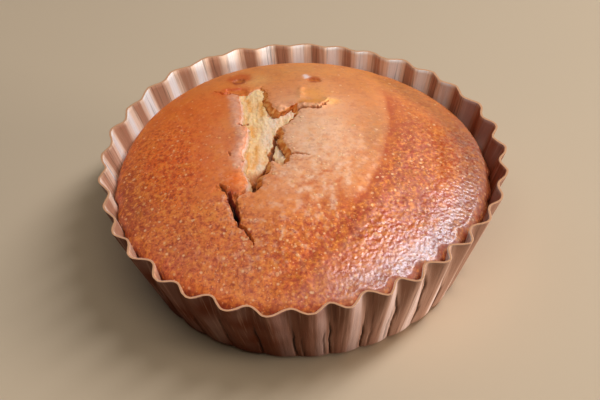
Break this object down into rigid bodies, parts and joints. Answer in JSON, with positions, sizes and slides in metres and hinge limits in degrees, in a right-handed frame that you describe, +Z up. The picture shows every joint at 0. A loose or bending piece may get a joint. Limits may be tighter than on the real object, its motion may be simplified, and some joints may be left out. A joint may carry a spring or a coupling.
{
  "type": "olive oil cake",
  "caption": "Round individual cake with a torn, domed golden-brown crust, standing in a fluted brown paper baking case with a flat bottom.",
  "frame": {"origin": "centre of the paper case's flat underside, on the surface it stands on", "axes": "+Z up through the dome, -Y towards the front, where the crust's slit ends"},
  "size_m": [0.1101, 0.1101, 0.0351],
  "materials": {
    "crust": "satin",
    "paper": "matte"
  },
  "bodies": {
    "root": {"cake": "crust", "paper_case": "paper"}
  },
  "joints": []
}
